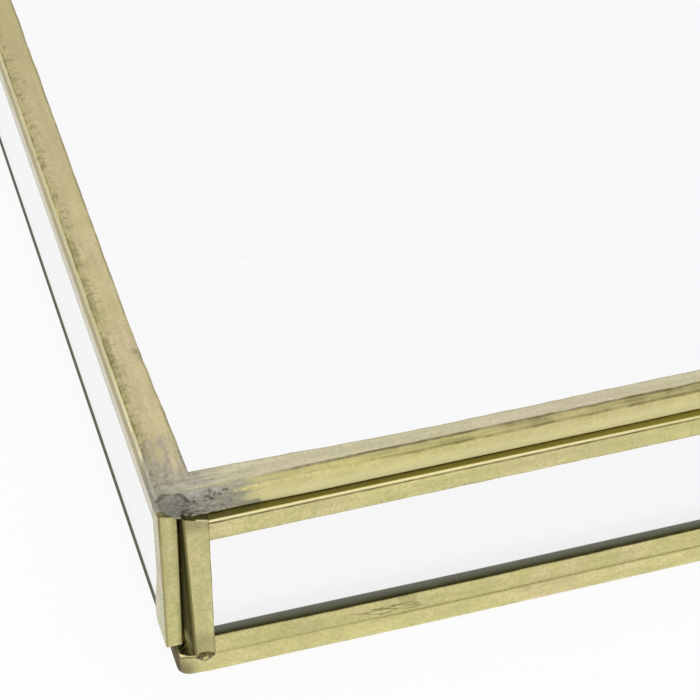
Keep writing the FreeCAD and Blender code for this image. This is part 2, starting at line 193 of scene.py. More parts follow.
class Recipe:
    """A node material under construction."""

    def __init__(self, name):
        self.material = bpy.data.materials.new(name)
        self.material.use_nodes = True
        self.tree = self.material.node_tree
        self.surface = self.tree.nodes["Principled BSDF"]

    def put(self, socket, value):
        """Link or set one input."""
        if isinstance(value, Value):
            self.tree.links.new(value.socket, socket)
        elif socket.type == "RGBA" and len(value) == 3:
            socket.default_value = (*value, 1.0)
        else:
            socket.default_value = value

    def node(self, kind, settings=None, inputs=None, out=0):
        """Any node: its settings, then its inputs by name or number; gives one output."""
        made = self.tree.nodes.new(kind)
        for key, value in (settings or {}).items():
            setattr(made, key, value)
        for key, value in (inputs or {}).items():
            self.put(made.inputs[key], value)
        return Value(self, made.outputs[out])

    def where(self):
        return self.node("ShaderNodeTexCoord", out="Object")

    def split(self, vector):
        """X, Y and Z of a vector."""
        first = self.node("ShaderNodeSeparateXYZ", inputs={0: vector})
        outputs = first.socket.node.outputs
        return [Value(self, outputs[index]) for index in range(3)]

    def uv(self, name):
        """The two numbers of one of the strip's own maps, in metres."""
        first, second, _ = self.split(self.node("ShaderNodeUVMap", {"uv_map": name}))
        return first * UV_UNIT, second * UV_UNIT

    def grain(self, scale, detail=3.0, roughness=0.55, stretch=None):
        """Noise from 0 to 1 on Object coordinates."""
        place = self.where()
        if stretch:
            place = self.node("ShaderNodeMapping", inputs={"Vector": place, "Scale": stretch})
        return self.node("ShaderNodeTexNoise", inputs={
            "Vector": place, "Scale": scale, "Detail": detail, "Roughness": roughness})

    def ramp(self, value, low, high):
        """Smooth step from 0 at low to 1 at high."""
        return self.node("ShaderNodeMapRange", {"interpolation_type": "SMOOTHSTEP"}, {
            "Value": value, "From Min": low, "From Max": high})

    def line(self, value, centre, width):
        """1 on a line, falling to 0 at its width."""
        return 1.0 - self.ramp(abs(value - centre), 0.25 * width, width)

    def mix(self, share, first, second):
        """Blend of two colours."""
        return self.node("ShaderNodeMix", {"data_type": "RGBA"}, {0: share, 6: first, 7: second}, out=2)

    def finish(self, colour=None, roughness=None, metallic=None, bump=None, strength=0.1, depth=0.0001):
        """Feed the surface."""
        for name, value in (("Base Color", colour), ("Roughness", roughness), ("Metallic", metallic)):
            if value is not None:
                self.put(self.surface.inputs[name], value)
        if bump is not None:
            normal = self.node("ShaderNodeBump", inputs={
                "Strength": strength, "Distance": depth, "Height": bump})
            self.put(self.surface.inputs["Normal"], normal)
        return self.material


def tones():
    return bpy.context.scene.jewelry_box_colours


def sizes():
    return bpy.context.scene.jewelry_box_sizes


def shade(tone, red, green=None, blue=None):
    """A colour with its channels scaled."""
    green = red if green is None else green
    blue = red if blue is None else blue
    return tone[0] * red, tone[1] * green, tone[2] * blue


def brass_paint(recipe, tone, stretch):
    """Mottled satin brass: warm and green patches, brushing along the strip and fine specks."""
    cloud = recipe.ramp(recipe.grain(60.0, 3.0), 0.34, 0.66)
    patch = recipe.ramp(recipe.grain(150.0, 4.0, 0.6), 0.42, 0.68)
    streak = recipe.ramp(recipe.grain(520.0, 4.0, 0.6, stretch), 0.36, 0.68)
    speck = recipe.ramp(recipe.grain(1500.0, 3.0, 0.7), 0.38, 0.68)
    paint = recipe.mix(cloud * 0.70, shade(tone, 1.08), shade(tone, 1.08, 0.99, 1.24))
    paint = recipe.mix(patch * 0.62, paint, shade(tone, 0.87, 0.91, 0.77))
    paint = recipe.mix(streak * 0.60, paint, shade(tone, 0.73))
    paint = recipe.mix(speck * 0.56, paint, shade(tone, 0.69))
    thread = recipe.ramp(recipe.grain(1300.0, 3.0, 0.6, stretch), 0.42, 0.66)
    paint = recipe.mix(thread * 0.30, paint, shade(tone, 0.78, 0.80, 0.74))
    return paint, 0.22 + patch * 0.07 + speck * 0.10, patch + streak * 0.5 + speck


def stains(recipe, paint, amount):
    """Scattered brown spots."""
    spot = recipe.ramp(recipe.grain(170.0, 5.0, 0.62), 0.64, 0.75)
    return recipe.mix(spot * amount, paint, tuple(tones().tarnish_and_shade))


def broken(recipe):
    """Patchy strength for marks that come and go along a strip."""
    return recipe.ramp(recipe.grain(230.0, 5.0, 0.62), 0.34, 0.64)


def turn(recipe, channel, far, waver=0.12 * MM):
    """Distance round a fold: over 0 on its flange, under 0 on the closed side of the strip."""
    across, inward = recipe.uv("section")
    reach = channel - across if far else across
    other = recipe.node("ShaderNodeMath", {"operation": "GREATER_THAN"}, {0: reach, 1: 0.85 * channel})
    return inward - reach - other + (recipe.grain(260.0, 3.0) - 0.5) * 4.0 * waver


def lip_line(recipe, paint, width, amount):
    """Dark line along the cut edge, where the brass meets the mirror."""
    lip, _ = recipe.uv("run")
    edge = 1.0 - recipe.ramp(lip, 0.02 * MM, width)
    return recipe.mix(edge * (0.3 + broken(recipe) * 0.7) * amount, paint, tuple(tones().tarnish_and_shade))


def wall_brass(name, tone, channel, stretch, bright=0.0, dark_line=0.0, scuffed=False, shy=0.0,
               film=None, deep=False, rounded=False):
    """Brass of the wall strips, with a painted highlight on the fold and a dark line beside it.

    ``shy`` strips get painted shade, of the colour ``film``, on a closed side that turns to a gap or lies under the
    lid;
    where it is ``deep`` the gap gets painted bounce light further in and painted shade at its top and foot;
    ``rounded`` ones get painted shade towards the folds of their closed side and along their edges.
    """
    recipe = Recipe(name)
    tone = tuple(tone)
    fold = sizes().wall_fold
    paint, roughness, relief = brass_paint(recipe, tone, stretch)
    patchy = broken(recipe)
    across, inward = recipe.uv("section")
    x, _, height = recipe.split(recipe.where())
    # Painted highlight in bright brass on each fold, stronger towards the left end, with a dark line beside it.
    for far in (False, True):
        place = turn(recipe, channel, far, 0.03 * MM)
        shine = recipe.line(place, -0.08 * MM, 0.50 * MM)
        shine_share = 0.15 + recipe.ramp(x, 0.0, -60.0 * MM) * 0.85
        shine = shine * shine_share
        paint = recipe.mix(shine * bright, paint, tuple(tones().bright_brass))
        mark = recipe.line(place, fold + 0.20 * MM, 0.30 * MM)
        paint = recipe.mix(mark * (0.6 + patchy * 0.4) * dark_line, paint, tuple(tones().tarnish_and_shade))
    if rounded:
        # Painted shade: darker towards the folds, towards the gap and the foot, and along the outer edge near the lid.
        middle = abs(across - 0.5 * channel) / (0.5 * channel)
        paint = recipe.mix(recipe.ramp(middle, 0.55, 1.0) * 0.38, paint, tuple(tones().olive))
        inner = recipe.ramp(HALF_WIDTH - abs(x), 1.5 * MM, 3.2 * MM)
        low = recipe.ramp(height, RIM_HIGH.z + 22.0 * MM, RIM_HIGH.z + 2.0 * MM)
        paint = recipe.mix(inner * (0.30 + low * 0.42), paint, shade(tones().tarnish_and_shade, 1.3))
        outer = recipe.ramp(HALF_WIDTH - abs(x), 0.50 * MM, 0.20 * MM) * recipe.ramp(inward, 0.50 * MM, 0.25 * MM)
        crown = recipe.ramp(height, LID_LOW.z - 7.0 * MM, LID_LOW.z - 1.0 * MM)
        paint = recipe.mix(outer * (0.45 + crown * 0.40), paint, shade(tones().tarnish_and_shade, 1.5))
    metallic = 1.0
    # Painted shade on the closed side: the top ledge under the lid and the faces into the gaps, darker towards the
    # ends.
    if shy:
        dull = 1.0 - recipe.ramp(inward, 0.05 * MM, 0.2 * MM)
        if bright:
            reach = 0.5 * channel - abs(across - 0.5 * channel)
            dull = dull * recipe.ramp(reach - shine_share * 0.26 * MM, -0.06 * MM, 0.24 * MM)
        ends = recipe.ramp(abs(x), 5.0 * MM, 105.0 * MM)
        film = recipe.mix(ends * 0.75, tuple(film), tuple(tones().shaded_brass))
        metallic = 1.0 - shine * bright * 0.5
        paint = recipe.mix(dull * shy, paint, film)
        roughness = roughness + dull * 0.15
    if deep:
        # Painted shade in the gap: a dark olive film, darker towards the top, with painted bounce light that makes it
        # lighter further in and a lighter olive near the front edge.
        inside = recipe.ramp(across, 2.0 * MM, 4.0 * MM)
        down = recipe.ramp(height, PANEL_HIGH.z - 3.0 * MM, RIM_HIGH.z + 8.0 * MM)
        film = recipe.mix(down, shade(tones().shaded_brass, 0.38), shade(tones().shaded_brass, 0.72))
        painted_bounce = recipe.mix(down, shade(tones().shaded_brass, 3.0), shade(tones().shaded_brass, 4.2, 4.1, 8.0))
        film = recipe.mix(inside, film, painted_bounce)
        front = recipe.ramp(across, 1.3 * MM, 0.1 * MM) * 0.9
        film = recipe.mix(front, film, shade(tones().ledge, 1.0, 1.0, 1.4))
        # Painted shade over the top ends, with a painted highlight along their front, and painted shade on the plugs.
        _, along = recipe.uv("run")
        tall = node_size("front_left_strip", 2)
        crown = 1.0 - recipe.ramp(along, 0.02 * MM, 0.08 * MM) * recipe.ramp(tall - along, 0.02 * MM, 0.08 * MM)
        dull = dull + crown - dull * crown
        plug = (recipe.ramp(across, 0.25 * MM, 0.60 * MM) * recipe.ramp(channel - across, 0.25 * MM, 0.60 * MM)
                * recipe.ramp(inward, 0.25 * MM, 0.60 * MM))
        dull = dull + plug - dull * plug
        edge = recipe.mix(recipe.ramp(inward, 1.5 * MM, 1.9 * MM), shade(tones().shaded_brass, 0.30, 0.28, 0.2),
                          shade(tones().bright_brass, 0.95))
        film = recipe.mix(crown, film, edge)
        film = recipe.mix(plug, film, shade(tones().shaded_brass, 0.60))
        recipe.surface.inputs["Specular IOR Level"].default_value = 0.15
        paint = recipe.mix(dull, paint, film)
        metallic = 1.0 - dull * 0.95
        roughness = roughness + dull * 0.4
        # Painted shade under the lid's overhang and at the feet of the strips.
        eave_shade = recipe.ramp(height, PANEL_HIGH.z - 2.5 * MM, PANEL_HIGH.z - 0.3 * MM) * 0.55
        foot_shade = recipe.ramp(height, BOTTOM_LOW.z + 7.0 * MM, BOTTOM_LOW.z + 3.6 * MM) * 0.48
        paint = recipe.mix((eave_shade + foot_shade) * (1.0 - dull), paint, shade(tones().olive, 0.7))
        low = recipe.ramp(height, RIM_HIGH.z + 9.0 * MM, RIM_HIGH.z + 2.0 * MM)
        wipe = recipe.ramp(recipe.grain(1100.0, 3.0, 0.6, (1.0, 1.0, 0.2)), 0.48, 0.62)
        paint = recipe.mix(dull * low * wipe * 0.5, paint, shade(tones().solder, 0.8))
    paint = lip_line(recipe, paint, 0.32 * MM, 0.6)
    paint = stains(recipe, paint, 0.28)
    if scuffed:
        paint = scuff(recipe, paint)
    return recipe.finish(paint, roughness, metallic, relief, 0.12)


def scuff(recipe, paint):
    """A patch of crossing scratches on the foot of the front panel."""
    x, y, z = recipe.split(recipe.where())
    uneven = (recipe.grain(260.0, 2.0) - 0.5) * 0.9 * MM
    across, up = x + 0.0812, z - BOTTOM_LOW.z - 1.7 * MM + uneven
    marks = 0.0
    for left, low, right, high in SCRATCHES:
        span = math.hypot(right - left, high - low)
        reach, rise = (right - left) / span, (high - low) / span
        along = (across - left * MM) * reach + (up - low * MM) * rise
        aside = (across - left * MM) * rise - (up - low * MM) * reach
        stroke = recipe.line(aside, 0.0, 0.20 * MM) * recipe.ramp(along, 0.0, 1.0 * MM)
        stroke = stroke * recipe.ramp(along, span * MM, (span - 1.5) * MM)
        marks = recipe.node("ShaderNodeMath", {"operation": "MAXIMUM"}, {0: stroke, 1: marks})
    front = recipe.node("ShaderNodeMath", {"operation": "LESS_THAN"}, {0: y, 1: 0.0})
    return recipe.mix(front * marks * (0.35 + broken(recipe) * 0.55), paint, shade(tones().tarnish_and_shade, 1.4))


def solder_paint(recipe):
    """Speckled grey of solder: its colour, its pits and its grains."""
    tone = tones()
    lump = recipe.grain(900.0, 6.0, 0.70)
    pit = 1.0 - recipe.ramp(lump, 0.34, 0.48)
    spark = recipe.ramp(recipe.grain(1500.0, 6.0, 0.75, (0.5, 1.0, 1.0)), 0.47, 0.62)
    warm = recipe.ramp(recipe.grain(210.0, 4.0), 0.46, 0.70)
    paint = recipe.mix(warm * 0.20, tuple(tone.solder), shade(tone.brass, 0.62))
    paint = recipe.mix(spark * 0.75, paint, tuple(tone.solder_light))
    paint = recipe.mix(pit * 0.75, paint, tuple(tone.solder_pit))
    return paint, pit, spark


def corner_reach(recipe):
    """Distance in plan from the nearest corner of the lid."""
    x, y, _ = recipe.split(recipe.where())
    from_end = HALF_WIDTH - abs(x)
    from_front = 0.5 * (COVER_BACK - COVER_FRONT) - abs(y - 0.5 * (COVER_FRONT + COVER_BACK))
    return (from_end ** 2.0 + from_front ** 2.0) ** 0.5, from_end


def lid_brass(name, tone, stretch, side):
    """Brass round the lid: rubbed on top, a mottled film on the fold, grey near the solder, with painted light on the
    outer faces, most towards their foot.

    The ends show the film between two thin dark lines; the sides show it on top, beside a fold with a painted
    highlight near the front and painted shade further back, over an outer face in painted shade.
    """
    recipe = Recipe(name)
    fold = sizes().lid_fold
    # Painted light: the outer faces' brass is painted a tenth brighter than plain brass.
    front, roughness, relief = brass_paint(recipe, shade(tones().brass, 1.10, 1.08, 1.0), stretch)
    top, _, _ = brass_paint(recipe, tuple(tone), stretch)
    place = turn(recipe, LID_CHANNEL, True)
    patchy = broken(recipe)
    fine = recipe.ramp(recipe.grain(900.0, 4.0, 0.65, stretch), 0.36, 0.62)
    paint = recipe.mix(recipe.ramp(place, 0.2 * fold, fold), front, top)
    reach, from_end = corner_reach(recipe)
    # Painted light: the outer face is painted paler towards its foot.
    foot = 1.0 - recipe.ramp(place, -LID_CHANNEL, -1.5 * fold)
    satin = 1.0 - recipe.ramp(place, -1.6 * fold, -fold)
    paint = recipe.mix(foot * 0.85, paint, shade(tones().brass, 1.29, 1.32, 1.58))
    roughness = roughness + satin * 0.25
    if side:
        # Painted shade on the sides' outer face.
        web = 1.0 - recipe.ramp(place, -1.3 * fold, -0.9 * fold)
        paint = recipe.mix(web * 0.75, paint, shade(tones().olive, 1.12, 1.12, 1.6))
        roughness = roughness + web * 0.15
        _, y, _ = recipe.split(recipe.where())
        far = recipe.ramp(y, -80.0 * MM, 80.0 * MM) * recipe.ramp(place, 0.2 * fold, fold)
        paint = recipe.mix(far * 0.6, paint, shade(tone, 0.62, 0.62, 0.48))
        near = recipe.ramp(y, 15.0 * MM, -50.0 * MM)
        film = recipe.line(place, 0.75 * fold, 1.15 * fold) * (0.35 + near * 0.65)
        shine = recipe.line(place, -0.45 * fold, 0.48 * fold)
        close = recipe.ramp(y, -45.0 * MM, -80.0 * MM)
        paint = recipe.mix(film * (0.12 + patchy * 0.68 + fine * 0.25), paint, tuple(tones().olive))
        # Painted shade dims the fold's highlight further back; towards the front it gets a painted highlight.
        paint = recipe.mix(shine * (1.0 - close) * 0.8, paint, shade(tones().brass, 0.66, 0.66, 0.9))
        paint = recipe.mix(shine * close * 0.75, paint, shade(tones().bright_brass, 0.95, 0.95, 1.25))
        speck = recipe.ramp(recipe.grain(650.0, 5.0, 0.7), 0.50, 0.60)
        beside = recipe.ramp(place, 3.4 * fold, 0.8 * fold) * recipe.ramp(place, 0.0, 0.3 * fold)
        paint = recipe.mix(speck * beside * 0.45, paint, tuple(tones().tarnish_and_shade))
        marks = ((0.30 * fold, 0.34 * MM, 0.75),)
    else:
        film = recipe.ramp(place, -1.05 * fold, -0.75 * fold) - recipe.ramp(place, 0.75 * fold, 1.05 * fold)
        film = film * (0.40 + recipe.ramp(from_end, 15.0 * MM, 75.0 * MM) * 0.60)
        paint = recipe.mix(film * (0.42 + patchy * 0.22 + fine * 0.25), paint, tuple(tones().olive))
        thread = recipe.ramp(recipe.grain(1300.0, 3.0, 0.6, shade(stretch, 0.5, 1.0, 1.0)), 0.50, 0.60)
        paint = recipe.mix(film * thread * (0.1 + patchy * 0.3), paint, tuple(tones().tarnish_and_shade))
        marks = ((0.80 * fold, 0.44 * MM, recipe.ramp(from_end, 16.0 * MM, 24.0 * MM) * 0.86),
                 (-0.98 * fold, 0.42 * MM, recipe.ramp(from_end, 24.0 * MM, 50.0 * MM) * 0.75))
    for centre, width, amount in marks:
        mark = recipe.line(place, centre, width)
        paint = recipe.mix(mark * (0.45 + patchy * 0.55) * amount, paint, tuple(tones().tarnish_and_shade))
    paint = lip_line(recipe, paint, (0.60 if side else 0.34) * MM, 0.75)
    paint = stains(recipe, paint, 0.50)
    uneven = (patchy - 0.5) * 5.0 * MM + (fine - 0.5) * 8.0 * MM
    grey = 1.0 - recipe.ramp(reach + uneven, 4.0 * MM, 17.0 * MM)
    film, pit, spark = solder_paint(recipe)
    paint = recipe.mix(grey * 0.75, paint, film)
    paint = recipe.mix(grey * 0.22, paint, tuple(tones().solder_pit))
    if not side:
        bend = 1.0 - recipe.ramp(place, 0.5 * fold, 1.3 * fold)
        tail = 1.0 - recipe.ramp(from_end + uneven, 11.0 * MM, 19.0 * MM)
        paint = recipe.mix(bend * tail * 0.80, paint, shade(tones().solder, 0.90, 0.90, 0.78))
    metallic = 1.0 if side else 1.0 - satin * 0.78
    return recipe.finish(paint, roughness + grey * 0.16, metallic, relief + fine * 0.5 + grey * spark, 0.14)


def rim_brass(name="rim_brass"):
    """Brass of the base rim: painted shade towards the corners and on the end faces; at the bare ends a painted
    highlight on the front of the top, a dark line on the fold and painted shade behind; between them a dark seam with
    painted shade in the groove under the panel.
    """
    recipe = Recipe(name)
    fold = sizes().rim_fold
    paint, roughness, relief = brass_paint(recipe, shade(tones().brass, 1.04), (0.3, 0.3, 1.0))
    place = turn(recipe, RIM_CHANNEL, True, 0.03 * MM)
    x, _, z = recipe.split(recipe.where())
    bare = recipe.ramp(abs(x), RIM_HIGH.x - 5.0 * MM, RIM_HIGH.x - 3.5 * MM)
    shine = recipe.line(place, 0.58 * MM, 0.62 * MM)
    # Painted shade towards the rounded corners, stronger low down.
    bend = recipe.ramp(abs(x), RIM_HIGH.x - 4.2 * MM, RIM_HIGH.x - 0.7 * MM)
    bend = bend * (0.55 + recipe.ramp(z, 3.4 * MM, 1.2 * MM) * 0.35)
    paint = recipe.mix(bend, paint, shade(tones().tarnish_and_shade, 1.4, 1.5, 1.9))
    # Painted highlight on the lit front of the top at the bare ends, then a dark line on the fold.
    paint = recipe.mix(shine * bare * 0.9, paint, tuple(tones().bright_brass))
    mark = recipe.line(place, -0.5 * fold, 0.26 * MM)
    paint = recipe.mix(mark * bare * 0.7, paint, tuple(tones().tarnish_and_shade))
    # Painted shade on the end faces, and on the top behind the highlight.
    side = recipe.ramp(abs(x), RIM_HIGH.x - 0.6 * MM, RIM_HIGH.x - 0.2 * MM)
    paint = recipe.mix(side * 0.9, paint, shade(tones().tarnish_and_shade, 0.75, 0.66, 0.9))
    top = recipe.ramp(place, 0.95 * MM, 1.15 * MM)
    paint = recipe.mix(top * bare * 0.95, paint, shade(tones().ledge, 0.80, 0.74, 0.35))
    # Dark seam, with painted shade in the groove under the panel, fainter towards the left end.
    seam = recipe.ramp(place, 0.10 * MM, 0.26 * MM) * (1.0 - bare)
    shown = 0.30 + recipe.ramp(x, -90.0 * MM, -78.0 * MM) * 0.65
    soft = recipe.ramp(place, -0.34 * MM, -0.12 * MM) * (1.0 - bare)
    paint = recipe.mix(soft * shown * 0.62, paint, shade(tones().olive, 0.95, 0.95, 0.8))
    paint = recipe.mix(seam * shown, paint, tuple(tones().tarnish_and_shade))
    paint = stains(recipe, paint, 0.30)
    metallic = (1.0 - side) * (1.0 - top * bare)
    relief = relief * (1.0 - top * bare * 0.9)
    return recipe.finish(paint, roughness + top * (0.2 + bare * 0.4) + side * 0.7, metallic, relief, 0.12)


def hinge_brass(name="hinge_brass"):
    """Plain brass of the hinges, stained in patches."""
    recipe = Recipe(name)
    paint, roughness, relief = brass_paint(recipe, tuple(tones().upright_brass), (0.3, 1.0, 1.0))
    paint = stains(recipe, paint, 0.55)
    return recipe.finish(paint, roughness + 0.04, 1.0, relief, 0.14)


def mirror_glass(name, band_low=None, band=None, gloss=0.35, shade_scale=1.0, sag=0.0):
    """Silvered glass; a mirror whose foot shows has a painted dark band there, standing for the channel seen through
    the thickness of its glass, with a faint painted shadow above it reflected from the floor by the box.
    """
    recipe = Recipe(name)
    tone = shade(tones().mirror, shade_scale)
    edge = tones().mirror_edge
    dust = recipe.ramp(recipe.grain(520.0, 2.0), 0.745, 0.80)
    haze = recipe.grain(38.0, 3.0)
    paint = recipe.mix(haze * 0.08, tone, shade(tone, 0.92))
    paint = recipe.mix(dust * 0.16, paint, shade(tone, 0.6))
    roughness = 0.02 + dust * 0.25 + haze * 0.02
    metallic = 1.0
    if band is not None:
        x, _, height = recipe.split(recipe.where())
        rise = height - band_low + recipe.ramp(x, -112.0 * MM, -60.0 * MM) * sag
        dark = 1.0 - recipe.ramp(rise, band - 0.22 * MM, band)
        depth = recipe.ramp(rise, 0.0, band) + (recipe.grain(300.0, 3.0) - 0.5) * 0.3
        # Painted reflection of the shade on the floor beside the box, just above the band.
        reflected_shadow = 1.0 - recipe.ramp(rise, band, band + 6.0 * MM)
        paint = recipe.mix(reflected_shadow * 0.16, paint, shade(tone, 0.6))
        paint = recipe.mix(dark, paint, recipe.mix(depth, shade(edge, 0.62, 0.60, 0.40), shade(edge, 1.2)))
        roughness = roughness + dark * gloss
        metallic = 1.0 - dark * 0.75
    return recipe.finish(paint, roughness, metallic)


def floor_mirror(name="floor_mirror"):
    """Mirror floor of the tray, painted grey underneath."""
    recipe = Recipe(name)
    tone = tones()
    low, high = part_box("base_plate")
    _, _, height = recipe.split(recipe.where())
    silver = recipe.ramp(height, low.z + 0.2 * MM, low.z + 0.4 * MM)
    dust = recipe.ramp(recipe.grain(420.0, 2.0), 0.72, 0.80)
    cloud = recipe.grain(120.0, 4.0)
    back = recipe.mix(cloud, (0.16, 0.16, 0.155), (0.24, 0.24, 0.23))
    bright = recipe.mix(dust * 0.3, tuple(tone.mirror), tuple(0.5 * channel for channel in tone.mirror))
    paint = recipe.mix(silver, back, bright)
    return recipe.finish(paint, 0.62 - silver * 0.59 + dust * 0.2, silver, cloud, 0.10)


def felt(name="felt"):
    """Dark felt glued over the back of the silvering."""
    recipe = Recipe(name)
    tone = tones()
    fibre = recipe.grain(2600.0, 6.0, 0.75)
    nap = recipe.grain(90.0, 3.0)
    shade = recipe.ramp(fibre * 0.7 + nap * 0.3, 0.32, 0.70)
    paint = recipe.mix(shade, tuple(0.55 * channel for channel in tone.felt),
                       tuple(1.9 * channel for channel in tone.felt))
    recipe.surface.inputs["Sheen Weight"].default_value = 0.35
    recipe.surface.inputs["Sheen Roughness"].default_value = 0.6
    return recipe.finish(paint, 0.86 + fibre * 0.12, 0.0, fibre, 0.6, 0.0002)


def solder_metal(name="solder_metal"):
    """Dull grey solder with dark pits and bright grains, thinning out over the brass."""
    recipe = Recipe(name)
    paint, pit, spark = solder_paint(recipe)
    _, from_end = corner_reach(recipe)
    _, _, z = recipe.split(recipe.where())
    ball = ((from_end - 2.6 * MM) ** 2.0 + (z - LID_LOW.z - 2.2 * MM) ** 2.0) ** 0.5
    inside = 1.0 - recipe.ramp(ball, 1.9 * MM, 2.7 * MM)
    paint = recipe.mix(inside * 0.75, paint, shade(tones().solder, 0.60, 0.60, 0.56))
    ring = recipe.line(ball, 2.55 * MM, 0.5 * MM) * recipe.ramp(z, LID_LOW.z + 2.0 * MM, LID_LOW.z + 3.6 * MM)
    paint = recipe.mix(ring * 0.75, paint, tuple(tones().solder_pit))
    # Painted light along the lower edge of the solder.
    under = recipe.ramp(z, LID_LOW.z + 1.6 * MM, LID_LOW.z) * (1.0 - inside)
    paint = recipe.mix(under * 0.6, paint, shade(tones().solder_light, 1.2))
    thin = recipe.ramp(from_end + (broken(recipe) - 0.5) * 3.0 * MM, 10.5 * MM, 16.5 * MM)
    brass, _, _ = brass_paint(recipe, shade(tones().brass, 0.95), (0.2, 1.0, 1.0))
    paint = recipe.mix(thin * 0.85, paint, brass)
    return recipe.finish(paint, 0.42 + pit * 0.25 - spark * 0.12, 1.0, spark - pit, 0.5, 0.0002)


def foot_metal(name="foot_metal"):
    """Dark flux and bright grains on the small solder spots."""
    recipe = Recipe(name)
    _, pit, spark = solder_paint(recipe)
    paint = recipe.mix(spark, shade(tones().brass, 0.85), tuple(tones().bright_brass))
    low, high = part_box("front_left_foot_solder")
    x, _, z = recipe.split(recipe.where())
    ball = ((abs(x) + 0.5 * (low.x + high.x)) ** 2.0 + (z - 0.5 * (low.z + high.z)) ** 2.0) ** 0.5
    uneven = (recipe.grain(700.0, 4.0, 0.6) - 0.5) * 1.2 * MM
    flux = recipe.ramp(ball + uneven, 0.25 * MM, 0.75 * MM)
    paint = recipe.mix(flux * 0.85, paint, shade(tones().tarnish_and_shade, 0.9))
    return recipe.finish(paint, 0.36 + flux * 0.2, 1.0 - flux * 0.5, spark - pit, 0.25, 0.0002)


def show(bm, name, material, body, slot, *nodes):
    """Turn a finished bmesh into a piece that rides on a body and stands for CAD nodes."""
    mesh = bpy.data.meshes.new(name)
    bm.to_mesh(mesh)
    bm.free()
    mesh.polygons.foreach_set("use_smooth", [True] * len(mesh.polygons))
    mesh.set_sharp_from_angle(angle=math.radians(34.0))
    mesh.materials.append(material)
    piece = bpy.data.objects.new(name, mesh)
    bpy.context.scene.collection.objects.link(piece)
    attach(piece, body)
    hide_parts(*nodes)
    return piece


def wander(*place):
    """Slow noise from -1 to 1."""
    return noise.noise(Vector(place))


def strip_frame(node, opening, along):
    """Matrix from a strip's own axes (across, inward, along) to the row frame, and its three sizes."""
    low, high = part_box(node)
    across = opening.cross(along)
    corner = Vector((0, 0, 0))
    extent = []
    for direction in (across, opening, along):
        axis = max(range(3), key=lambda index: abs(direction[index]))
        corner[axis] = low[axis] if direction[axis] > 0 else high[axis]
        extent.append(high[axis] - low[axis])
    turn = Matrix((across, opening, along)).transposed().to_4x4()
    return Matrix.Translation(corner) @ turn, extent, low, high


def along_edges(bm, test):
    """Edges that run along the strip and whose section point passes a test."""
    found = []
    for edge in bm.edges:
        first, second = edge.verts[0].co, edge.verts[1].co
        if abs(first.x - second.x) < 1e-7 and abs(first.y - second.y) < 1e-7 and test(first.x, first.y):
            found.append(edge)
    return found


def write_maps(bm, flange):
    """Two maps: place in the section, and distance from the lip with distance along."""
    section = bm.loops.layers.uv.new("section")
    run = bm.loops.layers.uv.new("run")
    for face in bm.faces:
        for loop in face.loops:
            across, inward, along = loop.vert.co
            loop[section].uv = (across / UV_UNIT, inward / UV_UNIT)
            loop[run].uv = ((flange - inward) / UV_UNIT, along / UV_UNIT)


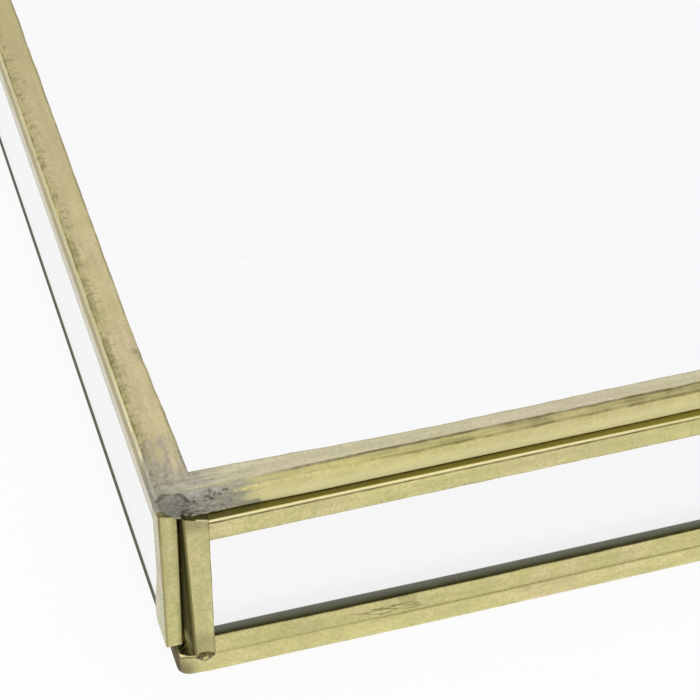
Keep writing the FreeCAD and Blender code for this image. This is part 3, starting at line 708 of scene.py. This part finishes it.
def folded_strip(node, opening, along, folds, material, body, seed, mitre=0.0, slant=(0.0, 0.0), bow=(),
                 drop=0.0, plug=False, tongue=(0.0, 0.0), filed=False, splay=(0.0, 0.0), pinch=(0.0, 0.0),
                 belly=(), kick=()):
    """Brass strip folded to a U, with round folds, hand-cut lips and slight dents.

    ``folds`` are the radii of its two folds, ``mitre`` the depth of the strips that it meets at
    both ends. ``slant`` moves the closed side inward at the start and the end, ``bow`` lists how
    far the lip strays at places along the strip, ``drop`` stretches the near side out, ``plug``
    closes the open ends, ``tongue`` draws out the near folded corner at the start and the end,
    ``filed`` strips follow the filed corners of the lid, ``splay`` turns the closed side outward at
    its far fold at the start and the end, ``pinch`` presses the near and the far side in at the
    start, ``belly`` lists how far the near fold stands out at places along the strip, and ``kick``
    how far the closed side leans out there.
    """
    size = sizes()
    matrix, (channel, flange, run), low, high = strip_frame(node, opening, along)
    sheet = size.sheet
    inner = channel - sheet
    bm = bmesh.new()
    section = [bm.verts.new((a, o, 0.0)) for a, o in (
        (0, 0), (channel, 0), (channel, flange), (inner, flange),
        (inner, sheet), (sheet, sheet), (sheet, flange), (0, flange))]
    cap = bm.faces.new(section)
    grown = bmesh.ops.extrude_face_region(bm, geom=[cap])
    bmesh.ops.translate(bm, vec=(0, 0, run), verts=[
        item for item in grown["geom"] if isinstance(item, bmesh.types.BMVert)])
    if mitre:
        for point, normal in (((0, 0, 0), (0, mitre, -flange)), ((0, 0, run), (0, mitre, flange))):
            cut = bmesh.ops.bisect_plane(
                bm, geom=bm.verts[:] + bm.edges[:] + bm.faces[:], dist=1e-7,
                plane_co=point, plane_no=normal, clear_outer=True)
            bmesh.ops.contextual_create(bm, geom=[
                item for item in cut["geom_cut"] if isinstance(item, bmesh.types.BMEdge)])
    small = 1e-6
    for place, radius in zip((0.0, channel), folds):
        outer = along_edges(bm, lambda a, o: o < small and abs(a - place) < small)
        bmesh.ops.bevel(bm, geom=outer, offset=radius, segments=7, profile=0.5, affect="EDGES", material=-1)
    lips = along_edges(bm, lambda a, o: o > flange - small)
    bmesh.ops.bevel(bm, geom=lips, offset=size.lip, segments=2, profile=0.5, affect="EDGES", material=-1)
    cuts = max(8, int(run / (2.0 * MM)))
    bmesh.ops.subdivide_edges(bm, edges=along_edges(bm, lambda a, o: True), cuts=cuts, use_grid_fill=True)
    if plug:
        for start in (0.04 * MM, run - 0.64 * MM):
            plate(bm, Vector((0.8 * sheet, 0.8 * sheet, start)),
                  Vector((channel - 0.8 * sheet, flange - size.lip, start + 0.6 * MM)), size.lip)
    bmesh.ops.recalc_face_normals(bm, faces=bm.faces[:])
    write_maps(bm, flange)
    for vert in bm.verts:
        a, o, place = vert.co
        step = place / MM
        ragged = wander(step * 0.19, seed, a * 90.0) * 0.45 + wander(step * 0.7, seed + 5.0, a * 90.0) * 0.45
        lip_share = max(0.0, (o - 0.5 * flange) / (0.5 * flange)) ** 2
        vert.co.y += (size.waver * ragged + stray(bow, place)) * lip_share
        dent = wander(step * 0.11, seed + 11.0, o * 260.0)
        middle = 1.0 - 2.0 * a / channel
        vert.co.x += middle * size.dent * (0.5 + 0.5 * dent)
        vert.co.x -= drop * max(0.0, 1.0 - a / channel)
        share = place / run
        outward = (splay[0] + (splay[1] - splay[0]) * share) * a / channel
        vert.co.y += (slant[0] + (slant[1] - slant[0]) * share - outward) * (1.0 - o / flange)
        squeeze = max(0.0, 1.0 - place / (25.0 * MM))
        vert.co.x += (pinch[0] * (1.0 - a / channel) - pinch[1] * a / channel) * squeeze
        vert.co.x -= stray(belly, place) * (1.0 - o / flange) * (1.0 - a / channel)
        vert.co.y -= stray(kick, place) * (1.0 - o / flange) * (1.0 - a / channel)
        point = max(0.0, 1.0 - o / flange) * max(0.0, 1.0 - a / (2.0 * MM))
        vert.co.z -= tongue[0] * point * max(0.0, 1.0 - place / (5.0 * MM))
        vert.co.z += tongue[1] * point * max(0.0, 1.0 - (run - place) / (5.0 * MM))
    bm.transform(matrix)
    if filed:
        for vert in bm.verts:
            file_corner(vert)
    elif slant == (0.0, 0.0) and not bow:
        for vert in bm.verts:
            vert.co = [min(max(value, bottom), top) for value, bottom, top in zip(vert.co, low, high)]
    bmesh.ops.recalc_face_normals(bm, faces=bm.faces[:])
    return show(bm, node + "_brass", material, body, "brass", node)


def file_corner(vert):
    """Pull a vertex of the lid inward where the corner is filed round."""
    size = sizes()
    middle = 0.5 * (COVER_FRONT + COVER_BACK)
    from_end = HALF_WIDTH - abs(vert.co.x)
    from_front = 0.5 * (COVER_BACK - COVER_FRONT) - abs(vert.co.y - middle)
    share = max(0.0, 1.0 - from_end / size.lid_corner) ** 2 * max(0.0, 1.0 - from_front / size.lid_corner)
    vert.co.y -= math.copysign(size.lid_filing * share, vert.co.y - middle)


def stray(bow, place):
    """Shift of the lip at a place along the strip, between the listed places."""
    if not bow:
        return 0.0
    for (start, first), (end, second) in zip(bow, bow[1:]):
        if place <= end:
            share = min(1.0, max(0.0, (place - start) / (end - start)))
            share = share * share * (3.0 - 2.0 * share)
            return first + (second - first) * share
    return bow[-1][1]


class JEWELRY_OT_lid_strips(bpy.types.Operator):
    """Four mitred strips round the lid"""

    bl_idname = "jewelry_box.lid_strips"
    bl_label = "Lid strips"

    def execute(self, context):
        size, tone = sizes(), tones()
        ends = lid_brass("lid_end_brass", tone.lid_brass, (0.14, 1.0, 1.0), False)
        sides = lid_brass("lid_side_brass", tone.lid_side_brass, (1.0, 0.14, 1.0), True)
        folds = (size.lid_foot_fold, size.lid_fold)
        side = node_size("lid_left_strip", 0)
        end = node_size("lid_front_strip", 1)
        width = node_size("lid_front_strip", 0)
        front_bow = [(0.0, 0.0), (width - 45.0 * MM, -0.45 * MM), (width - 6.0 * MM, 0.7 * MM), (width, 0.7 * MM)]
        kicks = {"lid_front_strip": ((104.0 * MM, 0.0), (150.0 * MM, 0.5 * MM), (165.0 * MM, 0.55 * MM),
                                     (width - 26.0 * MM, 0.55 * MM), (width - 15.0 * MM, size.corner_kick),
                                     (width - 5.0 * MM, size.corner_kick), (width, 0.0))}
        left_bow = [(0.0, 0.55 * MM), (6.0 * MM, 0.55 * MM), (45.0 * MM, -0.2 * MM), (150.0 * MM, 0.0)]
        for seed, (node, opening, along, mitre, bow, material) in enumerate((
                ("lid_front_strip", Y, -X, side, front_bow, ends), ("lid_back_strip", -Y, X, side, (), ends),
                ("lid_left_strip", X, Y, end, left_bow, sides), ("lid_right_strip", -X, -Y, end, (), sides))):
            folded_strip(node, opening, along, folds, material, "cover", 3.0 * seed, mitre, bow=bow,
                         drop=size.lid_drop, filed=True, kick=kicks.get(node, ()))
        return {"FINISHED"}


class JEWELRY_OT_wall_strips(bpy.types.Operator):
    """Strips round the front and back panels and the side panels"""

    bl_idname = "jewelry_box.wall_strips"
    bl_label = "Wall strips"

    lean_top: length("Lean at the top", "Outward shift of the end strips at the top", -0.00042, low=-0.002)
    lean_foot: length("Lean at the foot", "Inward shift of the end strips at the foot", 0.00045, low=-0.002)
    splay_top: length("Splay at the top", "How far the end strips open out inside the box", 0.00035)
    splay_foot: length("Splay at the foot", "How far the end strips open out inside the box", 0.0009)
    pinch: length("Pinch", "How far the posts are pressed in at the foot", 0.0004)

    def execute(self, context):
        tone = tones()
        folds = (sizes().wall_fold, sizes().wall_fold)
        lengthwise, upward, deep = (0.14, 1.0, 1.0), (1.0, 1.0, 0.14), (1.0, 0.14, 1.0)
        top = wall_brass("wall_top_brass", tone.brass, PANEL_CHANNEL, lengthwise, 0.9, 0.95,
                         shy=0.9, film=shade(tone.ledge, 0.95, 0.92, 0.65))
        foot = wall_brass("wall_foot_brass", shade(tone.brass, 0.93), PANEL_CHANNEL, lengthwise,
                          dark_line=0.18, scuffed=True)
        upright = wall_brass("wall_upright_brass", tone.upright_brass, PANEL_CHANNEL, upward,
                             shy=0.9, film=tone.ledge, deep=True)
        post = wall_brass("side_upright_brass", tone.upright_brass, SIDE_CHANNEL, upward, rounded=True)
        side_top = wall_brass("side_top_brass", tone.lid_brass, SIDE_CHANNEL, deep)
        seed = 20.0
        level = (0.0, 0.0)
        tongues = {("front", "left"): (sizes().tongue, 0.0), ("front", "right"): (0.0, sizes().tongue),
                   ("left", "front"): (0.0, 0.9 * MM)}
        bows = {("front", "bottom"): ((0.0, 0.0), (22.0 * MM, -0.40 * MM), (50.0 * MM, -0.60 * MM),
                                      (85.0 * MM, -0.45 * MM)),
                ("left", "front"): ((0.0, 2.6 * MM), (1.5 * MM, 3.2 * MM), (15.0 * MM, 0.0))}
        start = RIM_HIGH.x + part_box("front_bottom_strip")[0].x
        extent = node_size("front_bottom_strip", 0)
        bellies = {("front", "bottom"): (
            (3.0 * MM - start, 0.0), (48.0 * MM - start, sizes().rim_bow),
            (extent + start - 48.0 * MM, sizes().rim_bow), (extent + start - 3.0 * MM, 0.0))}
        pinches = {("left", "front"): (0.0, self.pinch), ("right", "front"): (self.pinch, 0.0)}
        for panel in ("front", "back"):
            for end, opening, along, slant, splay, material in (
                    ("bottom", Z, X, level, level, foot), ("top", -Z, -X, level, level, top),
                    ("left", X, -Z, (self.lean_top, self.lean_foot),
                     (self.splay_top, self.splay_foot), upright),
                    ("right", -X, Z, (self.lean_foot, self.lean_top),
                     (self.splay_foot, self.splay_top), upright)):
                seed += 3.0
                folded_strip(panel + "_" + end + "_strip", opening, along, folds, material,
                             "tray", seed, slant=slant, bow=bows.get((panel, end), ()), plug=slant != level,
                             tongue=tongues.get((panel, end), level), splay=splay,
                             belly=bellies.get((panel, end), ()))
        post_folds = {"left": (sizes().wall_fold, sizes().post_fold), "right": (sizes().post_fold, sizes().wall_fold)}
        for side in ("left", "right"):
            for end, opening, along, radii, material in (
                    ("top", -Z, Y, folds, side_top), ("front", Y, Z, post_folds[side], post),
                    ("back", -Y, -Z, post_folds[side], post)):
                seed += 3.0
                folded_strip(side + "_" + end + "_strip", opening, along, radii, material,
                             "cover", seed, bow=bows.get((side, end), ()), plug=end != "top",
                             tongue=tongues.get((side, end), level), pinch=pinches.get((side, end), level))
        return {"FINISHED"}


class JEWELRY_OT_base_rim(bpy.types.Operator):
    """Brass rim bent round the base plate"""

    bl_idname = "jewelry_box.base_rim"
    bl_label = "Base rim"

    flange: length("Flange", "Width of the rim on the base plate", 5.2 * MM)
    lean: length("Lean", "How far the front leans back at its ends", 0.8 * MM)

    def execute(self, context):
        size = sizes()
        low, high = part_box("base_rim")
        flange = self.flange
        bm = bmesh.new()
        plan = bm.faces.new([bm.verts.new((x, y, low.z)) for x, y in (
            (low.x, low.y), (high.x, low.y), (high.x, high.y), (low.x, high.y))])
        grown = bmesh.ops.extrude_face_region(bm, geom=[plan])
        bmesh.ops.translate(bm, vec=(0, 0, high.z - low.z), verts=[
            item for item in grown["geom"] if isinstance(item, bmesh.types.BMVert)])
        bmesh.ops.recalc_face_normals(bm, faces=bm.faces[:])
        upright = [edge for edge in bm.edges if abs(edge.verts[0].co.z - edge.verts[1].co.z) > 1.0 * MM]
        bmesh.ops.bevel(bm, geom=upright, offset=size.rim_corner, segments=10, profile=0.5,
                        affect="EDGES", material=-1)
        level = [edge for edge in bm.edges if abs(edge.verts[0].co.z - edge.verts[1].co.z) < 1e-7]
        bmesh.ops.bevel(bm, geom=level, offset=size.rim_fold, segments=5, profile=0.5,
                        affect="EDGES", material=-1)
        for axis, start, end in ((X, low.x + flange, high.x - flange), (Y, low.y + flange, high.y - flange)):
            for step in range(41):
                bmesh.ops.bisect_plane(bm, geom=bm.verts[:] + bm.edges[:] + bm.faces[:], dist=1e-7,
                                       plane_co=axis * (start + (end - start) * step / 40.0), plane_no=axis)
        middle = []
        for face in bm.faces:
            x, y, _ = face.calc_center_median()
            if min(x - low.x, high.x - x, y - low.y, high.y - y) > flange:
                middle.append(face)
        bmesh.ops.delete(bm, geom=middle, context="FACES")
        bmesh.ops.bridge_loops(bm, edges=[edge for edge in bm.edges if edge.is_boundary])
        bmesh.ops.recalc_face_normals(bm, faces=bm.faces[:])
        section = bm.loops.layers.uv.new("section")
        for face in bm.faces:
            for loop in face.loops:
                x, y, z = loop.vert.co
                inward = min(x - low.x, high.x - x, y - low.y, high.y - y)
                loop[section].uv = ((z - low.z) / UV_UNIT, inward / UV_UNIT)
        for vert in bm.verts:
            x, y, z = vert.co / MM
            if z > 1.0:
                vert.co.z -= size.dent * (0.5 + 0.5 * wander(x * 0.09, y * 0.09, 4.0))
            if vert.co.y < low.y + 0.5 * flange:
                from_end = high.x - abs(vert.co.x)
                vert.co.y -= stray(((3.0 * MM, 0.0), (48.0 * MM, size.rim_bow)), from_end)
                lean = 0.35 + 0.65 * (vert.co.z - low.z) / (high.z - low.z)
                vert.co.y += lean * stray(((0.8 * MM, self.lean), (4.0 * MM, 0.0)), from_end)
        show(bm, "base_rim_brass", rim_brass(), "tray", "brass", "base_rim")
        return {"FINISHED"}


class JEWELRY_OT_mirrors(bpy.types.Operator):
    """Silvering on the panes and felt behind them"""

    bl_idname = "jewelry_box.mirrors"
    bl_label = "Mirrors and backing"

    def pane(self, name, slot, material):
        """Sheet with rounded corners that fit inside the filed corners of the lid."""
        low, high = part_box(name)
        bm = bmesh.new()
        plan = bm.faces.new([bm.verts.new((x, y, low.z)) for x, y in (
            (low.x, low.y), (high.x, low.y), (high.x, high.y), (low.x, high.y))])
        bmesh.ops.bevel(bm, geom=plan.verts[:], offset=sizes().pane_corner, segments=6, profile=0.5,
                        affect="VERTICES", material=-1)
        grown = bmesh.ops.extrude_face_region(bm, geom=bm.faces[:])
        bmesh.ops.translate(bm, vec=(0, 0, high.z - low.z), verts=[
            item for item in grown["geom"] if isinstance(item, bmesh.types.BMVert)])
        bmesh.ops.recalc_face_normals(bm, faces=bm.faces[:])
        show(bm, name + "_pane", material, "cover", slot, name)

    def execute(self, context):
        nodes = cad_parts
        wall = mirror_glass("wall_mirror", BOTTOM_HIGH.z, sizes().wall_band, sag=0.45 * MM)
        # The side mirrors are painted a little darker, as painted shade.
        side = mirror_glass("side_mirror", SIDE_LOW.z, sizes().side_band, 0.88, 0.938)
        backing = felt()
        finishes = {
            "lid_mirror": mirror_glass("lid_mirror_glass"), "base_plate": floor_mirror(),
            "front_mirror": wall, "back_mirror": wall, "left_mirror": side, "right_mirror": side}
        for name in ("lid", "front", "back", "left", "right"):
            finishes[name + "_backing"] = backing
        for name, slot in (("lid_mirror", "mirror"), ("lid_backing", "backing")):
            self.pane(name, slot, finishes.pop(name))
        for name, material in finishes.items():
            nodes[name].data.materials.clear()
            nodes[name].data.materials.append(material)
        return {"FINISHED"}


def tube(bm, start, end, radius, bevel):
    """Round bar along X with softened ends, added to a bmesh."""
    middle = 0.5 * (start + end)
    matrix = Matrix.Translation(middle) @ Matrix.Rotation(0.5 * math.pi, 4, "Y")
    made = bmesh.ops.create_cone(bm, cap_ends=True, segments=48, radius1=radius, radius2=radius,
                                 depth=(end - start).length, matrix=matrix)
    rims = {edge for vert in made["verts"] for edge in vert.link_edges
            if abs(edge.verts[0].co.x - edge.verts[1].co.x) < 1e-7}
    bmesh.ops.bevel(bm, geom=list(rims), offset=bevel, segments=3, profile=0.5, affect="EDGES", material=-1)


def plate(bm, low, high, bevel):
    """Flat leaf with softened edges, added to a bmesh."""
    matrix = Matrix.Translation(0.5 * (low + high)) @ Matrix.Diagonal((*(high - low), 1.0))
    made = bmesh.ops.create_cube(bm, size=1.0, matrix=matrix)
    edges = {edge for vert in made["verts"] for edge in vert.link_edges}
    bmesh.ops.bevel(bm, geom=list(edges), offset=bevel, segments=2, profile=0.5, affect="EDGES", material=-1)


class JEWELRY_OT_hinges(bpy.types.Operator):
    """Two pin hinges at the back"""

    bl_idname = "jewelry_box.hinges"
    bl_label = "Hinges"

    leaf: length("Leaf", "Thickness of the hinge leaves", 0.6 * MM)
    barrel: length("Barrel", "Radius of the barrels", 1.6 * MM)
    knuckle: length("Knuckle", "Length of one barrel", 9.0 * MM)
    bevel: length("Bevel", "Softening of the edges", 0.14 * MM)

    def execute(self, context):
        material = hinge_brass()
        for name in ("left_hinge", "right_hinge"):
            tray_low, tray_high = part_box(name + "_tray_leaf")
            lid_low, lid_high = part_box(name + "_lid_leaf")
            pin_low, pin_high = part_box(name + "_pin")
            axis = 0.5 * (pin_low + pin_high)
            knuckles = [(tray_low.x, tray_low.x + self.knuckle),
                        (tray_high.x - self.knuckle, tray_high.x)]
            clear = self.barrel + 0.3 * MM
            inset = 0.04 * MM
            bm = bmesh.new()
            plate(bm, tray_low, Vector((tray_high.x, tray_low.y + self.leaf, axis.z - clear)), self.bevel)
            for start, end in knuckles:
                plate(bm, Vector((start, tray_low.y + inset, axis.z - clear - self.leaf)),
                      Vector((end, tray_low.y + self.leaf - inset, axis.z - 0.2 * MM)), 0.5 * self.bevel)
                tube(bm, Vector((start, axis.y, axis.z)), Vector((end, axis.y, axis.z)), self.barrel, self.bevel)
            show(bm, name + "_tray_leaf_brass", material, "tray", "brass", name + "_tray_leaf")
            start, end = axis.x - 0.5 * self.knuckle, axis.x + 0.5 * self.knuckle
            bm = bmesh.new()
            plate(bm, Vector((lid_low.x, lid_low.y, axis.z + clear)),
                  Vector((lid_high.x, lid_low.y + self.leaf, lid_high.z)), self.bevel)
            plate(bm, Vector((start, lid_low.y + inset, axis.z + 0.2 * MM)),
                  Vector((end, lid_low.y + self.leaf - inset, axis.z + clear + self.leaf)), 0.5 * self.bevel)
            tube(bm, Vector((start, axis.y, axis.z)), Vector((end, axis.y, axis.z)), self.barrel, self.bevel)
            show(bm, name + "_lid_leaf_brass", material, "cover", "brass", name + "_lid_leaf")
            bm = bmesh.new()
            head = 0.5 * (pin_high.z - pin_low.z)
            tube(bm, Vector((pin_low.x, axis.y, axis.z)), Vector((tray_low.x, axis.y, axis.z)), head, 2 * self.bevel)
            tube(bm, Vector((tray_high.x, axis.y, axis.z)), Vector((pin_high.x, axis.y, axis.z)), head, 2 * self.bevel)
            tube(bm, Vector((tray_low.x, axis.y, axis.z)), Vector((tray_high.x, axis.y, axis.z)),
                 0.8 * MM, 0.5 * self.bevel)
            show(bm, name + "_pin_brass", material, "tray", "brass", name + "_pin")
        return {"FINISHED"}


class JEWELRY_OT_solder(bpy.types.Operator):
    """Lumpy solder over the lid corners and at the feet of the panels"""

    bl_idname = "jewelry_box.solder"
    bl_label = "Solder"

    def corner(self, name, side, face, outward, seed, material, kick):
        """Sheet of lumps that wraps the front of a lid corner, from its foot up onto its fold."""
        size = sizes()
        run, fold, foot = size.solder_run, size.lid_fold, size.lid_foot_fold
        bottom, shoulder = LID_LOW.z - size.lid_drop + foot, LID_HIGH.z - fold
        under, web, arc = foot * math.radians(70.0), shoulder - bottom, fold * math.radians(74.0)
        bm = bmesh.new()
        bmesh.ops.create_grid(bm, x_segments=150, y_segments=54, size=0.5)
        for vert in bm.verts:
            u, v = vert.co.x + 0.5, vert.co.y + 0.5
            along, climb = u * run, v * (under + web + arc) - under
            lean, depth, height = 0.0, 0.0, bottom + climb
            if climb < 0.0:
                lean = climb / foot
                depth, height = foot * (1.0 - math.cos(lean)), bottom + foot * math.sin(lean)
            elif climb > web:
                lean = (climb - web) / fold
                depth, height = fold * (1.0 - math.cos(lean)), shoulder + fold * math.sin(lean)
            a, b = along / MM, climb / MM
            edge = 1.0 - 0.2 * wander(b * 0.8, seed, 2.0) - u
            fade = min(1.0, max(0.0, edge / 0.45), (1.0 - v) / 0.16, v / 0.06)
            lump = 0.45 + 0.35 * wander(a * 0.5, b * 0.8, seed) + 0.40 * wander(a * 1.3, b * 1.6, seed + 3.0)
            lump += 0.28 * wander(a * 2.9, b * 3.3, seed + 7.0) + 0.16 * wander(a * 6.0, b * 6.4, seed + 9.0)
            ball = math.hypot(a - 2.6, b - 1.9)
            lump += 0.9 * max(0.0, 1.0 - (ball / 2.7) ** 2)
            rise = size.solder_height * max(0.0, lump) * fade - 0.06 * MM * (1.0 - fade) - 0.01 * MM
            depth -= kick * min(1.0, along / (5.0 * MM)) * min(1.0, max(0.0, 1.0 - climb / web))
            vert.co = (side * (HALF_WIDTH - along),
                       face + outward * (rise * math.cos(lean) - depth),
                       min(height + rise * math.sin(lean), LID_HIGH.z))
        bmesh.ops.recalc_face_normals(bm, faces=bm.faces[:])
        if sum(item.normal.y for item in bm.faces) * outward < 0:
            bmesh.ops.reverse_faces(bm, faces=bm.faces[:])
        bmesh.ops.solidify(bm, geom=bm.faces[:], thickness=0.25 * MM)
        for vert in bm.verts:
            vert.co.x = min(max(vert.co.x, -HALF_WIDTH), HALF_WIDTH)
            vert.co.z = min(vert.co.z, LID_HIGH.z)
            file_corner(vert)
        bmesh.ops.recalc_face_normals(bm, faces=bm.faces[:])
        show(bm, name + "_lumps", material, "cover", "solder", name)

    def foot(self, name, seed, material):
        """Small blob on the seam between a panel's foot and the rim."""
        low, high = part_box(name)
        centre = 0.5 * (low + high)
        half = 0.5 * (high - low)
        front = centre.y < 0
        centre.y = high.y if front else low.y
        half.y *= 2.0
        bm = bmesh.new()
        bmesh.ops.create_icosphere(bm, subdivisions=5, radius=1.0)
        for vert in bm.verts:
            x, y, z = vert.co
            bump = 0.76 + 0.34 * wander(x * 1.8 + seed, y * 1.8, z * 1.8)
            bump += 0.24 * wander(x * 4.6, y * 4.6 + seed, z * 4.6)
            bump = min(1.0, bump)
            vert.co = (x * half.x * bump, y * half.y * bump, z * half.z * bump)
        bmesh.ops.translate(bm, vec=centre, verts=bm.verts[:])
        bmesh.ops.recalc_face_normals(bm, faces=bm.faces[:])
        show(bm, name + "_lump", material, "tray", "solder", name)

    def execute(self, context):
        material, spots = solder_metal(), foot_metal()
        seed = 40.0
        for end, face, outward in (("front", COVER_FRONT, -1.0), ("back", COVER_BACK, 1.0)):
            for hand, side in (("left", -1.0), ("right", 1.0)):
                seed += 9.0
                kick = sizes().corner_kick if (end, hand) == ("front", "left") else 0.0
                self.corner("lid_%s_%s_solder" % (end, hand), side, face, outward, seed, material, kick)
                self.foot("%s_%s_foot_solder" % (end, hand), seed, spots)
        return {"FINISHED"}


class JEWELRY_OT_stage(bpy.types.Operator):
    """Pale table, white studio and the camera"""

    bl_idname = "jewelry_box.stage"
    bl_label = "Stage"

    focal: FloatProperty(name="Lens", description="Focal length in millimetres", default=134.4)
    azimuth: FloatProperty(name="Azimuth", description="Turn of the view from +Y towards +X",
                           default=math.radians(16.90), subtype="ANGLE")
    elevation: FloatProperty(name="Elevation", description="Height of the view above level",
                             default=math.radians(41.66), subtype="ANGLE")

    def floor(self):
        recipe = Recipe("table")
        seen = self.seen(recipe)
        cloud = recipe.grain(3.0, 2.0)
        tone = tuple(tones().floor)
        paint = recipe.mix(cloud * 0.25, tone, tuple(0.985 * channel for channel in tone))
        recipe.finish(paint, 0.8, 0.0)
        glow = recipe.node("ShaderNodeEmission", inputs={"Color": (1.0, 1.0, 1.0), "Strength": 1.0})
        matt = Value(recipe, recipe.surface.outputs[0])
        both = recipe.node("ShaderNodeMixShader", inputs={0: seen * 0.90, 1: matt, 2: glow})
        recipe.put(recipe.tree.nodes["Material Output"].inputs["Surface"], both)
        bm = bmesh.new()
        bmesh.ops.create_grid(bm, x_segments=1, y_segments=1, size=4.0)
        mesh = bpy.data.meshes.new("table_top")
        bm.to_mesh(mesh)
        bm.free()
        mesh.materials.append(recipe.material)
        table = bpy.data.objects.new("table_top", mesh)
        table.location.z = -0.15 * MM
        bpy.context.scene.collection.objects.link(table)

    def seen(self, recipe):
        """1 for rays from the camera, from metal and through glass."""
        path = recipe.node("ShaderNodeLightPath")
        outputs = path.socket.node.outputs
        seen = None
        for name in ("Is Camera Ray", "Is Glossy Ray", "Is Transmission Ray"):
            ray = Value(recipe, outputs[name])
            seen = ray if seen is None else seen.maths("MAXIMUM", seen, ray)
        return seen

    def sky(self):
        world = bpy.data.worlds.new("studio")
        bpy.context.scene.world = world
        world.use_nodes = True
        recipe = Recipe.__new__(Recipe)
        recipe.tree = world.node_tree
        seen = self.seen(recipe)
        back = world.node_tree.nodes["Background"]
        recipe.put(back.inputs["Color"], (1.0, 1.0, 1.0, 1.0))
        recipe.put(back.inputs["Strength"], 0.72 + seen * 0.28)

    def lamp(self):
        light = bpy.data.lights.new("softbox", "AREA")
        light.shape = "RECTANGLE"
        light.size = 1.2
        light.size_y = 0.9
        light.energy = 6.0
        lamp = bpy.data.objects.new("softbox", light)
        lamp.location = (-0.7, -0.5, 1.3)
        lamp.rotation_mode = "QUATERNION"
        lamp.rotation_quaternion = (-lamp.location).to_track_quat("-Z", "Y")
        lamp.visible_glossy = False
        bpy.context.scene.collection.objects.link(lamp)

    def camera(self):
        view = bpy.data.cameras.new("photo_camera")
        view.lens = self.focal
        view.sensor_width = 36.0
        view.clip_start = 0.01
        camera = bpy.data.objects.new("photo_camera", view)
        camera.location = (-HALF_WIDTH - 0.0550, RIM_LOW.y - 0.2829, 0.3282)
        level = math.cos(self.elevation)
        ahead = Vector((math.sin(self.azimuth) * level, math.cos(self.azimuth) * level, -math.sin(self.elevation)))
        camera.rotation_mode = "QUATERNION"
        camera.rotation_quaternion = ahead.to_track_quat("-Z", "Y")
        bpy.context.scene.collection.objects.link(camera)
        bpy.context.scene.camera = camera

    def execute(self, context):
        bpy.context.scene.view_settings.view_transform = "Standard"
        self.floor()
        self.sky()
        self.lamp()
        self.camera()
        return {"FINISHED"}


OPERATORS = (JEWELRY_OT_lid_strips, JEWELRY_OT_wall_strips, JEWELRY_OT_base_rim, JEWELRY_OT_mirrors,
             JEWELRY_OT_hinges, JEWELRY_OT_solder, JEWELRY_OT_stage)


class JEWELRY_PT_box(bpy.types.Panel):
    """Sizes, finishes and steps of the jewelry box"""

    bl_idname = "JEWELRY_PT_box"
    bl_label = "Jewelry box"
    bl_space_type = "VIEW_3D"
    bl_region_type = "UI"
    bl_category = "Jewelry Box"

    def draw(self, context):
        for group in (sizes(), tones()):
            for name in group.__annotations__:
                self.layout.prop(group, name)
        for operator in OPERATORS:
            self.layout.operator(operator.bl_idname)


CLASSES = (BoxSizes, BoxColours, *OPERATORS, JEWELRY_PT_box)


def register():
    for item in CLASSES:
        bpy.utils.register_class(item)
    bpy.types.Scene.jewelry_box_sizes = PointerProperty(type=BoxSizes)
    bpy.types.Scene.jewelry_box_colours = PointerProperty(type=BoxColours)


def unregister():
    del bpy.types.Scene.jewelry_box_colours
    del bpy.types.Scene.jewelry_box_sizes
    for item in reversed(CLASSES):
        bpy.utils.unregister_class(item)


def main():
    register()
    for step in ("stage", "lid_strips", "wall_strips", "base_rim", "mirrors", "hinges", "solder"):
        getattr(bpy.ops.jewelry_box, step)()


if __name__ == "__main__":
    main()
